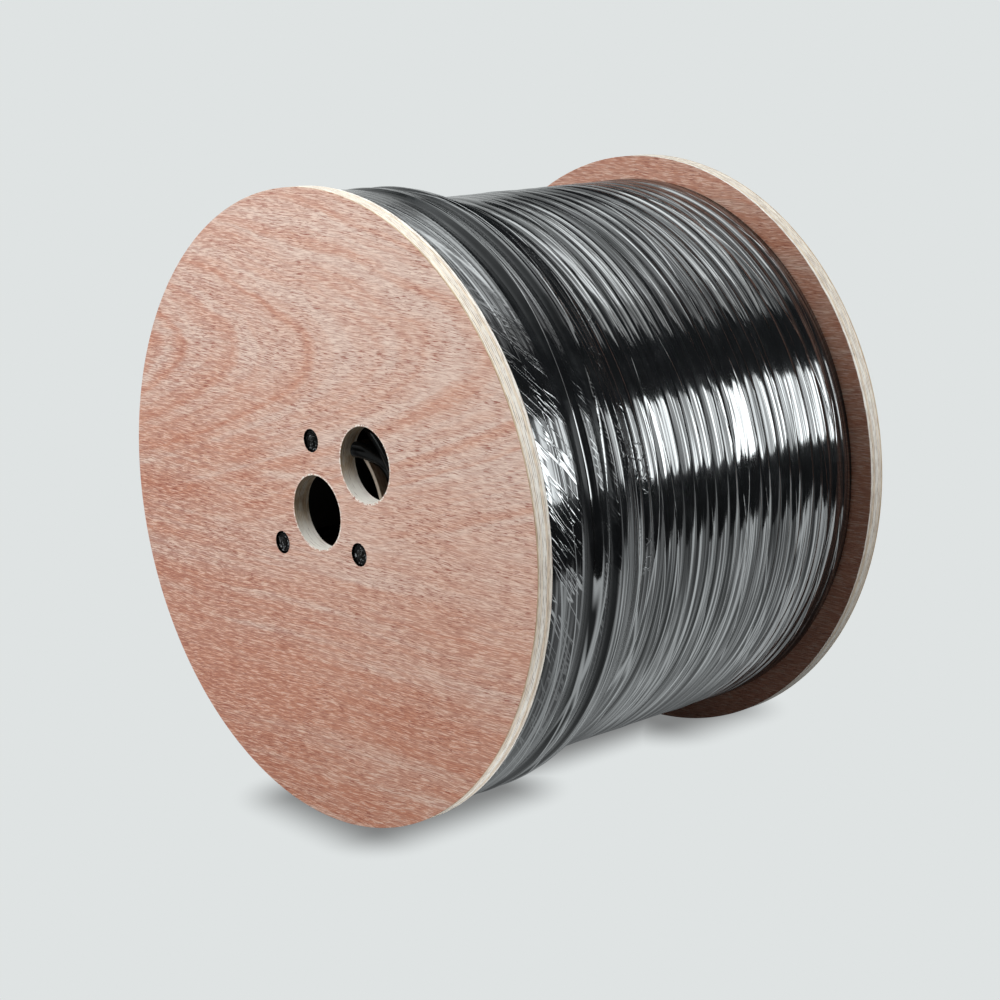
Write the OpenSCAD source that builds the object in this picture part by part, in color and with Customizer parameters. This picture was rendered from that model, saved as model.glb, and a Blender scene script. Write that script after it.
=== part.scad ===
// Wooden cable drum, lying on the rims of its two plywood flanges.
// Millimetres, +Z up. The drum's axis runs along Y, and the front flange faces -Y.
// The origin is on the floor under the middle of the drum.

/* [Drum] */
// Diameter of the flanges
flange_d = 425; // [390:1:480]
// Thickness of the plywood
flange_t = 12; // [11:0.5:18]
// Overall width over both flanges
drum_w = 322; // [280:1:380]
// Diameter of the arbor bore in both flanges
bore_d = 50; // [40:1:54]
// Diameter of the lead hole in the front flange
lead_d = 50; // [46:1:54]
// Distance of the lead hole's middle outside the barrel's skin
lead_out = 9.5; // [8:0.5:12]
// Angle of the lead hole, counterclockwise from the right as seen from the front
lead_angle = 39; // [30:1:60]

/* [Barrel] */
// Outer diameter of the paper tube
barrel_d = 112; // [100:1:130]
// Wall of the paper tube
barrel_wall = 3; // [2:0.5:5]

/* [Tie rods] */
// Diameter of a tie rod
rod_d = 8; // [6:0.5:8]
// Clearance between a rod and the inside of the barrel
rod_gap = 1; // [0.5:0.1:3]
// Angle of the first rod, counterclockwise from the right as seen from the front
rod_angle = 96; // [85:1:105]
// Width of a nut across its flats
nut_flats = 13; // [10:0.5:13]
// Height of a nut
nut_h = 6.5; // [5:0.1:6.8]
// Depth of a nut's outer face below the flange's face
nut_sink = 1; // [0.5:0.1:2]
// Depth of a rod's end below the flange's face
rod_sink = 0.5; // [0.2:0.1:0.5]
// Clearance around a nut's corners in its counterbore
counterbore_gap = 0.2; // [0.1:0.1:2]

/* [Cable] */
// Diameter of the cable
cable_d = 10.2; // [8:0.1:11]
// Depth by which a layer nests into the one below
layer_nest = 0.3; // [0:0.1:1]
// Bare rim of the flanges that is left above the part layer
free_rim = 7.5; // [5:0.5:15]
// Turns of the part layer that lies on top, beside the front flange
top_turns = 7; // [4:1:9]
// Depth of the grooves between the turns
groove = 3; // [1:0.5:4]

/* [Stretch film] */
// Thickness of the film over the full layers
film_t = 0.6; // [0.4:0.1:1]
// Thickness of the bunched film over the part layer
film_bunch_t = 2.4; // [1:0.1:2.5]
// Turns over which the film comes down from the part layer
film_slope_turns = 4; // [2:1:6]
// Depth of the hollows in the film between two turns
film_dip = 1.2; // [0.6:0.1:2]

/* [Hidden] */

// Round shapes are true circles, so the segment count only sets how they are drawn
$fn = 96;
eps = 0.5;

flange_r = flange_d / 2;
half_w = drum_w / 2;
inner_half = half_w - flange_t;
barrel_r = barrel_d / 2;
cable_r = cable_d / 2;
lead_r = barrel_r + lead_out;
lead_pos = lead_r * [cos(lead_angle), sin(lead_angle)];

// Places of the rods, and the holes for them and their nuts
rod_count = 3;
rod_r = barrel_r - barrel_wall - rod_gap - rod_d / 2;
rod_clearance = 0.5;
thread_clearance = 0.1;
nut_corners = nut_flats / cos(30);
counterbore_d = nut_corners + 2 * counterbore_gap;
counterbore_depth = nut_sink + nut_h;

// Winding: as many turns and full layers as find room, the middle of a turn along the axis, and the
// middle of a layer from the axis
turn_count = floor(2 * inner_half / cable_d);
layer_rise = cable_d - layer_nest;
layer_count = floor((flange_r - free_rim - barrel_r - cable_d) / layer_rise);
turn_pitch = 2 * inner_half / turn_count;
function turn_z(i) = inner_half - turn_pitch * (i + 0.5);
function layer_mid(k) = barrel_r + cable_r + layer_rise * k;
core_r = barrel_r + layer_nest / 2;
full_crest = layer_mid(layer_count - 1) + cable_r;
top_crest = layer_mid(layer_count) + cable_r;
top_end = turn_z(top_turns - 1) - cable_r / 2;

// Gap in the first turns behind the lead hole, where the cable's inner end leaves the winding
gap_start = lead_angle - 19;
gap_end = lead_angle + 25;
gap_depth = 1.5 * cable_d;
gap_rise = 1.1 * cable_d;

// Route of the inner end: [across, up, depth behind the front face], from the winding, up along the
// barrel and over its end into the lead hole. A lead point lies out from the first turn's middle and
// along the rim, seen at the lead hole's angle.
tail_start_r = barrel_r + cable_r;
function lead_point(out, along, depth) = [
    (tail_start_r + out) * cos(lead_angle) - along * sin(lead_angle),
    (tail_start_r + out) * sin(lead_angle) + along * cos(lead_angle),
    depth
];
tail_start_depth = flange_t + gap_depth - cable_r;
tail_lead = 8;
tail_sides = 12;
tail_steps = 5;
tail_start = [tail_start_r * cos(gap_start), tail_start_r * sin(gap_start), tail_start_depth];
tail_route = [
    tail_start,
    tail_start + tail_lead * [-sin(gap_start), cos(gap_start), 0],
    lead_point(0.2, -4.1, tail_start_depth),
    lead_point(0.5, 3.3, flange_t + 6.8),
    lead_point(0.1, 9.6, flange_t - 0.2),
    lead_point(-2.1, 13.5, flange_t - 4.6),
    lead_point(-5.2, 16, flange_t - 5.8)
];

// Puts a shape that is turned about Z, front at the top, onto the drum's axis
module on_axis() {
    translate([0, 0, flange_r]) rotate([90, 0, 0]) children();
}

// Places a child at each tie rod
module at_rod(i) {
    rotate(rod_angle + i * 360 / rod_count) translate([rod_r, 0, 0]) children();
}

// One flange from its inner face at z = 0 to its outer face, with the bore and the nut recesses
module flange_disc() {
    difference() {
        cylinder(h = flange_t, d = flange_d);
        translate([0, 0, -eps]) cylinder(h = flange_t + 2 * eps, d = bore_d);
        for (i = [0 : rod_count - 1]) at_rod(i) {
            translate([0, 0, -eps]) cylinder(h = flange_t + 2 * eps, d = rod_d + 2 * rod_clearance);
            translate([0, 0, flange_t - counterbore_depth])
                cylinder(h = counterbore_depth + eps, d = counterbore_d);
        }
    }
}

module front_flange() {
    color([0.80, 0.60, 0.53]) on_axis() difference() {
        translate([0, 0, inner_half]) flange_disc();
        translate([lead_pos.x, lead_pos.y, inner_half - eps]) cylinder(h = flange_t + 2 * eps, d = lead_d);
    }
}

// The back flange is a disc like the front one, turned over about the up direction
module back_flange() {
    color([0.78, 0.58, 0.50]) on_axis() mirror([0, 0, 1]) translate([0, 0, inner_half]) flange_disc();
}

module barrel() {
    color([0.45, 0.33, 0.24]) on_axis() translate([0, 0, -inner_half]) difference() {
        cylinder(h = 2 * inner_half, d = barrel_d);
        translate([0, 0, -eps]) cylinder(h = 2 * inner_half + 2 * eps, d = barrel_d - 2 * barrel_wall);
    }
}

module tie_rod(i) {
    color([0.16, 0.16, 0.17]) on_axis() at_rod(i)
        translate([0, 0, rod_sink - half_w]) cylinder(h = drum_w - 2 * rod_sink, d = rod_d);
}

// A hex nut with its seat at z = 0
module hex_nut() {
    chamfer = (nut_corners - nut_flats) / 2;
    difference() {
        intersection() {
            cylinder(h = nut_h, d = nut_corners, $fn = 6);
            rotate_extrude() polygon([
                [0, 0],
                [nut_corners / 2 + eps, 0],
                [nut_corners / 2 + eps, nut_h - chamfer - eps],
                [nut_flats / 2, nut_h],
                [0, nut_h]
            ]);
        }
        translate([0, 0, -eps]) cylinder(h = nut_h + 2 * eps, d = rod_d + 2 * thread_clearance);
    }
}

module front_nut(i) {
    color([0.08, 0.08, 0.09]) on_axis() at_rod(i) translate([0, 0, half_w - counterbore_depth]) hex_nut();
}

module back_nut(i) {
    color([0.08, 0.08, 0.09]) on_axis() mirror([0, 0, 1]) at_rod(i)
        translate([0, 0, half_w - counterbore_depth]) hex_nut();
}

// One turn of the cable in the winding's section, layer k and turn i
module turn_section(k, i) {
    translate([layer_mid(k), turn_z(i)]) circle(d = cable_d);
}

// Section of the winding: a plain core with the outermost turns and the ends of the layers on it
module coil_section() {
    end_z = inner_half - groove;
    translate([core_r, -end_z]) square([full_crest - groove - core_r, 2 * end_z]);
    translate([core_r, top_end]) square([top_crest - groove - core_r, end_z - top_end]);
    for (i = [top_turns : turn_count - 1]) turn_section(layer_count - 1, i);
    for (i = [0 : top_turns - 1]) turn_section(layer_count, i);
    for (k = [0 : layer_count - 1]) turn_section(k, 0);
    for (k = [0 : layer_count - 2]) turn_section(k, turn_count - 1);
}

module cable_coil() {
    color([0.09, 0.09, 0.10]) on_axis() difference() {
        rotate_extrude() coil_section();
        rotate(gap_start) rotate_extrude(angle = gap_end - gap_start)
            translate([barrel_r - eps, inner_half - gap_depth])
                square([gap_rise + eps, gap_depth + eps]);
    }
}

// Uniform cubic curve through a route, clamped at both ends
function unit(v) = v / norm(v);
function clamped(p) = concat([2 * p[0] - p[1]], p, [2 * p[len(p) - 1] - p[len(p) - 2]]);
function curve_point(c, i, u) =
    (pow(1 - u, 3) * c[i]
    + (3 * pow(u, 3) - 6 * u * u + 4) * c[i + 1]
    + (-3 * pow(u, 3) + 3 * u * u + 3 * u + 1) * c[i + 2]
    + pow(u, 3) * c[i + 3]) / 6;
function curve_slope(c, i, u) =
    -pow(1 - u, 2) * c[i]
    + (3 * u * u - 4 * u) * c[i + 1]
    + (-3 * u * u + 2 * u + 1) * c[i + 2]
    + u * u * c[i + 3];
function route_spans(c) = len(c) - 3;
function stations(c) = concat(
    [for (i = [0 : route_spans(c) - 1]) for (n = [0 : tail_steps - 1]) [i, n / tail_steps]],
    [[route_spans(c) - 1, 1]]
);

// A round tube along a route, as rings of points joined by faces
module tube_along(route, radius, sides, side_hint) {
    c = clamped(route);
    at = stations(c);
    rings = [
        for (s = at)
            let (
                slope = curve_slope(c, s[0], s[1]),
                across = unit(cross(slope, side_hint)),
                over = unit(cross(slope, across))
            )
            for (j = [0 : sides - 1])
                curve_point(c, s[0], s[1])
                + radius * (cos(360 * j / sides) * across + sin(360 * j / sides) * over)
    ];
    last = (len(at) - 1) * sides;
    walls = [
        for (m = [0 : len(at) - 2]) for (j = [0 : sides - 1])
            let (a = m * sides, b = (j + 1) % sides)
            each [[a + j, a + b, a + sides + b], [a + j, a + sides + b, a + sides + j]]
    ];
    first_cap = [for (j = [1 : sides - 2]) [0, j + 1, j]];
    last_cap = [for (j = [1 : sides - 2]) [last, last + j, last + j + 1]];
    polyhedron(points = rings, faces = concat(walls, first_cap, last_cap));
}

module cable_tail() {
    route = [for (p = tail_route) [p.x, p.y, half_w - p.z]];
    color([0.09, 0.09, 0.10]) on_axis() tube_along(route, cable_r, tail_sides, [1, 0.35, 0]);
}

// Film over one band of turns: a plain sleeve with the crests of the turns standing out of it
module film_band(layer, thickness, first_turn, last_turn, low_z, high_z) {
    floor_r = layer_mid(layer) + cable_r - groove;
    intersection() {
        union() {
            translate([floor_r, low_z]) square([groove + thickness - film_dip, high_z - low_z]);
            for (i = [first_turn : last_turn])
                translate([layer_mid(layer), turn_z(i)]) circle(r = cable_r + thickness);
        }
        translate([floor_r, low_z]) square([cable_r + groove + thickness, high_z - low_z]);
    }
}

// Section of the film, pulled tight over the turns and down in a slope from the part layer
module film_section() {
    slope_turn = top_turns - 1 + film_slope_turns;
    slope_top = turn_z(top_turns - 1);
    slope_foot = turn_z(slope_turn);
    difference() {
        union() {
            film_band(layer_count - 1, film_t, slope_turn, turn_count - 1, -inner_half, slope_foot);
            film_band(layer_count, film_bunch_t, 0, top_turns - 1, slope_top, inner_half);
            polygon([
                [full_crest, slope_foot - eps],
                [full_crest + film_t, slope_foot - eps],
                [top_crest + film_bunch_t, slope_top + eps],
                [top_crest, slope_top + eps]
            ]);
        }
        coil_section();
    }
}

module stretch_film() {
    color([0.13, 0.13, 0.14]) on_axis() rotate_extrude() film_section();
}

front_flange();
back_flange();
barrel();
tie_rod(0);  // tie_rod_1
tie_rod(1);  // tie_rod_2
tie_rod(2);  // tie_rod_3
front_nut(0);  // front_nut_1
front_nut(1);  // front_nut_2
front_nut(2);  // front_nut_3
back_nut(0);  // back_nut_1
back_nut(1);  // back_nut_2
back_nut(2);  // back_nut_3
cable_coil();
cable_tail();
stretch_film();
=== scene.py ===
"""Wooden cable drum, full of black cable under stretch film.

Each operator models one piece, or one group of like pieces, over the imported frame. Metres, +Z up, with the
drum's axis along Y and the front flange facing -Y.
"""
import math

import bmesh
import bpy
import numpy as np
from bpy.props import FloatProperty, FloatVectorProperty, IntProperty, PointerProperty
from bpy.types import Operator, Panel, PropertyGroup
from mathutils import Matrix, Vector


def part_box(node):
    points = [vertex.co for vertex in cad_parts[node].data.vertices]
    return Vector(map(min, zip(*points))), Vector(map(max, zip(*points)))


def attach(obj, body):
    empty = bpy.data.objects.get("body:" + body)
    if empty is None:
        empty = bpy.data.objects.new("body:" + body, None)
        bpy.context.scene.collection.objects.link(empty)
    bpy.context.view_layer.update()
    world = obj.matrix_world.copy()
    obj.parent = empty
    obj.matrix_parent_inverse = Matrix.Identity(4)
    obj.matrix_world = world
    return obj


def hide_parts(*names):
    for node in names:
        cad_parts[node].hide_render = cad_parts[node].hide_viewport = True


bl_info = {
    "name": "Wooden Cable Drum",
    "version": (1, 0, 0),
    "blender": (4, 5, 0),
    "location": "View3D > Sidebar > Cable Drum",
    "description": "Models a plywood cable drum with a winding under stretch film",
    "category": "Add Mesh",
}

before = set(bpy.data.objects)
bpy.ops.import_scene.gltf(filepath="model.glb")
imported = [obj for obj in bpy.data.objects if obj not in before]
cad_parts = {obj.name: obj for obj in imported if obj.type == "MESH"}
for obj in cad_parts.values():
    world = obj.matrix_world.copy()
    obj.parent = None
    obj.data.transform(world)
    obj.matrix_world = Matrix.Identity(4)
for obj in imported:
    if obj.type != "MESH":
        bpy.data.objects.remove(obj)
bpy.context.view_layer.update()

FRONT_LOW, FRONT_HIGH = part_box("front_flange")
NUT_LOW, NUT_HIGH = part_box("front_nut_1")
ROD_LOW, ROD_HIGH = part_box("tie_rod_1")
BARREL_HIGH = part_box("barrel")[1]
FILM_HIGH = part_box("stretch_film")[1]
AXIS_Z = round((FRONT_LOW.z + FRONT_HIGH.z) / 2, 4)
AXIS = Vector((0, 0, AXIS_Z))
ROD_COUNT = 3

# How far a cutting tool stands past the faces that it cuts
PAST = 0.01
# Faces round the turned pieces and holes
FLANGE_SIDES, BARREL_SIDES, ROD_SIDES = 256, 144, 32
HOLE_SIDES, RECESS_SIDES, ROD_HOLE_SIDES = 96, 48, 40
# Play of a rod in a flange and in a nut, and how far black runs past a recess
ROD_PLAY, NUT_PLAY, RECESS_SPILL = 0.0005, 0.0001, 0.0003
# Breaks of the edges of tube, rod, nut and cable end
TUBE_BREAK, ROD_BREAK, NUT_BREAK, CABLE_BREAK = 0.0003, 0.0006, 0.00022, 0.0012
# Half of the thread's depth as a share of the rod's radius, and the rings that shape one turn of it
THREAD_CUT, THREAD_RINGS = 0.075, 4
# Rings that are cut into the film, in two rounds
FILM_CUTS = (16, 21)
# Thickness of the film over the full layers and over the part layer, and where its lining steps down
FILM_WALL, HUMP_WALL = 0.0010, 0.0023
STEP_START, STEP_END = 0.0715, 0.0745
WINDING_SEED = 11


def srgb(red, green, blue):
    """Linear colour of a tone that is read off a screen, 0 to 255."""
    def linear(tone):
        tone /= 255
        return tone / 12.92 if tone <= 0.04045 else ((tone + 0.055) / 1.055) ** 2.4
    return linear(red), linear(green), linear(blue)


def length(label, text, default):
    return FloatProperty(name=label, description=text, default=default, min=0, unit="LENGTH", precision=4)


def bearing(label, text, degrees):
    return FloatProperty(name=label, description=text, default=math.radians(degrees), subtype="ANGLE")


def tone(label, text, default):
    return FloatVectorProperty(name=label, description=text, default=default, size=3, min=0, max=1,
                               subtype="COLOR")


def light(label, text, default):
    return FloatProperty(name=label, description=text, default=default, min=0)


class DrumSizes(PropertyGroup):
    """Sizes of the drum itself."""
    flange_radius: length("Flange radius", "Radius of both flanges", round(FRONT_HIGH.z - AXIS_Z, 4))
    flange_thickness: length("Flange thickness", "Thickness of the plywood",
                             round(FRONT_HIGH.y - FRONT_LOW.y, 4))
    half_width: length("Half width", "Half of the width over both flanges", round(-FRONT_LOW.y, 4))
    edge_round: length("Edge break", "Break of the plywood's edges", 0.0005)
    bore_radius: length("Bore radius", "Radius of the arbor bore", 0.025)
    lead_radius: length("Lead hole radius", "Radius of the lead hole", 0.025)
    lead_distance: length("Lead hole distance", "Middle of the lead hole from the axis", 0.0655)
    lead_angle: bearing("Lead hole angle", "Counterclockwise from the right", 39)
    barrel_radius: length("Barrel radius", "Outer radius of the paper tube", round(BARREL_HIGH.z - AXIS_Z, 4))
    barrel_wall: length("Barrel wall", "Wall of the paper tube", 0.003)
    rod_radius: length("Rod radius", "Radius of a tie rod", round((ROD_HIGH.x - ROD_LOW.x) / 2, 4))
    rod_distance: length("Rod distance", "Middle of a tie rod from the axis", 0.048)
    rod_angle: bearing("Rod angle", "Angle of the first rod, counterclockwise from the right", 96)
    rod_end: length("Rod end", "Distance of a rod's end from the middle of the drum", round(-ROD_LOW.y, 4))
    thread_length: length("Thread length", "Length of the thread on each end of a rod", 0.025)
    thread_pitch: length("Thread pitch", "Rise of the thread in one turn", 0.00125)
    nut_flats: length("Nut flats", "Width of a nut across its flats", 0.013)
    nut_face: length("Nut face", "Distance of a nut's outer face from the middle", round(-NUT_LOW.y, 4))
    nut_height: length("Nut height", "Height of a nut", round(NUT_HIGH.y - NUT_LOW.y, 4))
    recess_radius: length("Recess radius", "Radius of the counterbore round a nut", 0.0077)


class WindingSizes(PropertyGroup):
    """Sizes of the winding and the film on it."""
    cable_radius: length("Cable radius", "Radius of the cable", 0.0051)
    turn_count: IntProperty(name="Turns", description="Turns side by side in a layer", default=29, min=4)
    film_radius: length("Film radius", "Outside of the film over the full layers", 0.1960)
    hump_radius: length("Hump radius", "Outside of the film over the part layer",
                        round(FILM_HIGH.z - AXIS_Z, 4))
    hump_length: length("Hump length", "Length of the part layer from the front flange", 0.068)
    slope_end: length("Slope end", "Where the film's slope meets the full layers", 0.098)
    dip: length("Dip", "Depth of the film's hollows between the turns", 0.0008)
    wander: length("Wander", "How far a turn strays sideways", 0.0014)
    rise: length("Rise", "How far a turn stands higher than its neighbours", 0.0009)
    around: IntProperty(name="Steps around", description="Faces around the film", default=256, min=32)


class DrumColours(PropertyGroup):
    """Colours of the drum's finishes."""
    veneer_pale: tone("Pale veneer", "Lightest tone of the face veneer", srgb(229, 206, 191))
    veneer_rose: tone("Rose veneer", "Middle tone of the face veneer", srgb(216, 173, 151))
    veneer_red: tone("Red veneer", "Reddest bands of the face veneer", srgb(206, 146, 118))
    pore: tone("Pores", "Open pores of the veneer", srgb(148, 82, 63))
    ply_white: tone("White ply", "Palest ply on the rim", srgb(248, 244, 235))
    ply_cream: tone("Cream ply", "Middle plies on the rim", srgb(236, 222, 200))
    ply_brown: tone("Brown ply", "Darkest ply on the rim", srgb(188, 160, 124))
    ply_grey: tone("Grey ply", "Weathered spots on the rim", srgb(194, 184, 168))
    glue: tone("Glue lines", "Glue lines between the plies", srgb(122, 82, 54))
    void: tone("Voids", "Open voids between the plies", (0.05, 0.03, 0.02))
    kraft: tone("Kraft paper", "Paper of the barrel", srgb(104, 80, 60))
    kraft_edge: tone("Cut paper", "Cut end of the barrel", srgb(152, 141, 128))
    kraft_seam: tone("Paper seam", "Seam of the barrel's paper", (0.10, 0.06, 0.035))
    kraft_soil: tone("Soiled paper", "Handling marks on the barrel", (0.12, 0.08, 0.05))
    # Painted shade: the inside of the barrel is near black
    painted_bore_shade: tone("Painted shade inside the barrel", "Near black inside of the barrel, as painted shade", (0.020, 0.016, 0.012))
    film: tone("Film", "Film over the black cable", (0.010, 0.011, 0.012))
    film_haze: tone("Film haze", "Hazy spots of the film", (0.03, 0.032, 0.034))
    jacket: tone("Jacket", "Jacket of the cable", (0.003, 0.003, 0.003))
    jacket_dust: tone("Jacket dust", "Dust on the cable's jacket", (0.012, 0.012, 0.012))
    nut: tone("Nut", "Black nuts", (0.002, 0.002, 0.002))
    nut_dust: tone("Nut dust", "Dust on the nuts", (0.006, 0.006, 0.005))
    rod: tone("Rod", "Blackened steel of the rods", (0.003, 0.003, 0.003))
    rod_dust: tone("Rod dust", "Dust on the rods", (0.007, 0.006, 0.005))
    background: tone("Background", "Floor and backdrop", srgb(223, 227, 227))


class StageSettings(PropertyGroup):
    """Camera and lights. A light's value is the radiance of its softbox."""
    camera_place: FloatVectorProperty(name="Camera", description="Place of the camera", size=3,
                                      default=(1.0977, -0.9903, 0.5766), subtype="XYZ", unit="LENGTH")
    camera_aim: FloatVectorProperty(name="Aim", description="Direction of the view", size=3,
                                    default=(-0.71836, 0.64878, -0.25109), subtype="DIRECTION")
    lens: FloatProperty(name="Lens", description="Focal length in millimetres", default=77.635, min=1)
    side_light: light("Side light", "Softboxes on both sides of the drum", 4.8)
    top_light: light("Top light", "Softbox above the drum", 1.4)
    key_light: light("Key light", "Far softbox before the front flange", 7.4)
    face_light: light("Face light", "Near softbox before the front flange", 11.6)
    hole_light: light("Hole light", "Softbox on the walls of the front holes", 8.0)
    low_light: light("Low light", "Softbox below the front flange's rim", 2.0)
    rim_light: light("Rim light", "Softbox on the rims", 8.0)
    back_light: light("Back light", "Softbox behind the back flange", 6.5)
    fill_light: light("Fill light", "Strength of the sky on matt surfaces", 0.06)


# Helpers for modelling

def rod_spots(sizes):
    """Middles of the tie rods, across and up from the axis."""
    angles = [sizes.rod_angle + number * math.tau / ROD_COUNT for number in range(ROD_COUNT)]
    return [sizes.rod_distance * Vector((math.cos(at), math.sin(at))) for at in angles]


def lead_spot(sizes):
    """Middle of the lead hole, across and up from the axis."""
    return sizes.lead_distance * Vector((math.cos(sizes.lead_angle), math.sin(sizes.lead_angle)))


def deselect():
    """Object mode with nothing selected."""
    if bpy.context.object and bpy.context.object.mode != "OBJECT":
        bpy.ops.object.mode_set(mode="OBJECT")
    bpy.ops.object.select_all(action="DESELECT")


def hold(piece):
    """Makes a piece the only selected and active one."""
    deselect()
    piece.select_set(True)
    bpy.context.view_layer.objects.active = piece


def settle(piece):
    """Puts a piece's place, turn and scale into its mesh."""
    hold(piece)
    bpy.ops.object.transform_apply(location=True, rotation=True, scale=True)
    return piece


def turned(name, radius, low_y, high_y, sides, across=0.0, up=0.0, fill="NGON", turn=0.0):
    """A cylinder along Y, from low_y to high_y, with its middle off the drum's axis."""
    deselect()
    bpy.ops.mesh.primitive_cylinder_add(
        vertices=sides, radius=radius, depth=high_y - low_y, end_fill_type=fill,
        location=(across, (low_y + high_y) / 2, AXIS_Z + up), rotation=(math.pi / 2, turn, 0))
    piece = bpy.context.active_object
    piece.name = piece.data.name = name
    return settle(piece)


def apply_modifier(piece, kind, **settings):
    hold(piece)
    modifier = piece.modifiers.new(kind.title(), kind)
    for key, value in settings.items():
        setattr(modifier, key, value)
    bpy.ops.object.modifier_apply(modifier=modifier.name)


def carve(piece, tool, operation="DIFFERENCE"):
    """Cuts a tool out of a piece, or keeps what they share, and removes the tool."""
    apply_modifier(piece, "BOOLEAN", object=tool, operation=operation, solver="EXACT")
    mesh = tool.data
    bpy.data.objects.remove(tool)
    bpy.data.meshes.remove(mesh)


def choose_edges(piece, chosen):
    """Goes into edit mode with only the edges selected for which chosen(edge) holds."""
    hold(piece)
    bpy.ops.object.mode_set(mode="EDIT")
    bpy.ops.mesh.select_mode(type="EDGE")
    bpy.ops.mesh.select_all(action="DESELECT")
    mesh = bmesh.from_edit_mesh(piece.data)
    for edge in mesh.edges:
        edge.select_set(bool(chosen(edge)))
    bmesh.update_edit_mesh(piece.data)


def bevel_edges(piece, chosen, offset, segments=2):
    choose_edges(piece, chosen)
    bpy.ops.mesh.bevel(offset=offset, segments=segments, profile=0.5, affect="EDGES", clamp_overlap=True)
    bpy.ops.object.mode_set(mode="OBJECT")


def sharp(degrees):
    """Test for edges whose faces meet at more than an angle."""
    limit = math.radians(degrees)
    return lambda edge: len(edge.link_faces) == 2 and edge.calc_face_angle(0) > limit


def smooth(piece, degrees=20):
    hold(piece)
    bpy.ops.object.shade_smooth_by_angle(angle=math.radians(degrees))


def twin(piece, name, turn, middle):
    """A copy of a piece with its own mesh, turned about a point."""
    hold(piece)
    bpy.ops.object.duplicate(linked=False)
    copy = bpy.context.active_object
    copy.name = copy.data.name = name
    copy.matrix_world = Matrix.Translation(middle) @ turn @ Matrix.Translation(-middle)
    return settle(copy)


def give(piece, node, slot, *materials):
    """Puts a finished piece in place of its node."""
    piece.data.materials.clear()
    for material in materials:
        piece.data.materials.append(material)
    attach(piece, "root")
    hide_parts(node)


def vertex_places(mesh):
    """Places of a mesh's vertices, one row each."""
    place = np.empty(len(mesh.vertices) * 3, np.float32)
    mesh.vertices.foreach_get("co", place)
    return place.reshape(-1, 3)


# Helpers for materials

class Value:
    """A shader node's output, with which sums and products are written as with numbers."""

    def __init__(self, socket):
        self.socket = socket
        self.tree = socket.id_data

    def __add__(self, other):
        return calc("ADD", self, other)

    def __radd__(self, other):
        return calc("ADD", other, self)

    def __sub__(self, other):
        return calc("SUBTRACT", self, other)

    def __rsub__(self, other):
        return calc("SUBTRACT", other, self)

    def __mul__(self, other):
        return calc("MULTIPLY", self, other)

    def __truediv__(self, other):
        return calc("DIVIDE", self, other)

    def __abs__(self):
        return calc("ABSOLUTE", self)


def plug(node, key, value):
    """Sets a node's socket to a value, or links an output to it."""
    if isinstance(value, Value):
        node.id_data.links.new(value.socket, node.inputs[key])
    else:
        node.inputs[key].default_value = value


def put(tree, kind, sockets=None, **settings):
    """Adds a shader node with its settings and the values of its sockets."""
    made = tree.nodes.new(kind)
    for key, value in settings.items():
        setattr(made, key, value)
    for key, value in (sockets or {}).items():
        plug(made, key, value)
    return made


def take(tree, kind, sockets=None, output=0, **settings):
    """Adds a shader node and gives one of its outputs."""
    return Value(put(tree, kind, sockets, **settings).outputs[output])


def feed(node, **sockets):
    """Sets or links a node's sockets by name, with _ for each space."""
    for key, value in sockets.items():
        plug(node, key.replace("_", " "), value)


def tree_of(values):
    """The node tree that the first output among some values is in."""
    return next(value.tree for value in values if isinstance(value, Value))


def calc(operation, *values):
    return take(tree_of(values), "ShaderNodeMath", dict(enumerate(values)), operation=operation)


def larger(first, second):
    return calc("MAXIMUM", first, second)


def reach(across, up):
    """Length of a way that goes across and up."""
    return calc("SQRT", across * across + up * up)


def fit(value, low, high, to_low=0.0, to_high=1.0):
    """Maps a value smoothly from one range to another, clamped."""
    sockets = dict(enumerate((value, low, high, to_low, to_high)))
    return take(value.tree, "ShaderNodeMapRange", sockets, interpolation_type="SMOOTHSTEP", clamp=True)


def noise(vector, scale, detail=2.0, roughness=0.5, output=0):
    sockets = {"Vector": vector, "Scale": scale, "Detail": detail, "Roughness": roughness}
    return take(vector.tree, "ShaderNodeTexNoise", sockets, output)


def line_noise(along, scale):
    """Noise along one value, about zero."""
    return take(along.tree, "ShaderNodeTexNoise", {"W": along, "Scale": scale}, noise_dimensions="1D") - 0.5


def join(*parts):
    return take(tree_of(parts), "ShaderNodeCombineXYZ", dict(enumerate(parts)))


def split(vector):
    return [Value(part) for part in put(vector.tree, "ShaderNodeSeparateXYZ", {0: vector}).outputs]


def opaque(colour):
    return (*colour, 1.0)


def mix(factor, first, second):
    """Mixes two colours, each three numbers or a node's output."""
    first, second = (entry if isinstance(entry, Value) else opaque(entry) for entry in (first, second))
    return take(factor.tree, "ShaderNodeMix", {0: factor, 6: first, 7: second}, 2, data_type="RGBA")


def ramp(factor, stops):
    made = put(factor.tree, "ShaderNodeValToRGB", {0: factor})
    entries = made.color_ramp.elements
    while len(entries) > 1:
        entries.remove(entries[-1])
    entries[0].position, entries[0].color = stops[0][0], opaque(stops[0][1])
    for place, colour in stops[1:]:
        entries.new(place).color = opaque(colour)
    return Value(made.outputs[0])


def bump(height, distance, strength):
    sockets = {"Strength": strength, "Distance": distance, "Height": height}
    return take(height.tree, "ShaderNodeBump", sockets)


def bare_tree(owner):
    """The node tree of a material or a world, with nothing in it."""
    owner.use_nodes = True
    owner.node_tree.nodes.clear()
    return owner.node_tree


def new_material(name, **sockets):
    """A material with a Principled shader: the material, its tree and the shader."""
    material = bpy.data.materials.new(name)
    tree = bare_tree(material)
    shader = put(tree, "ShaderNodeBsdfPrincipled")
    feed(shader, **sockets)
    put(tree, "ShaderNodeOutputMaterial", {0: Value(shader.outputs[0])})
    return material, tree, shader


def object_place(tree):
    return take(tree, "ShaderNodeTexCoord", output="Object")


# Effects that materials share

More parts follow.
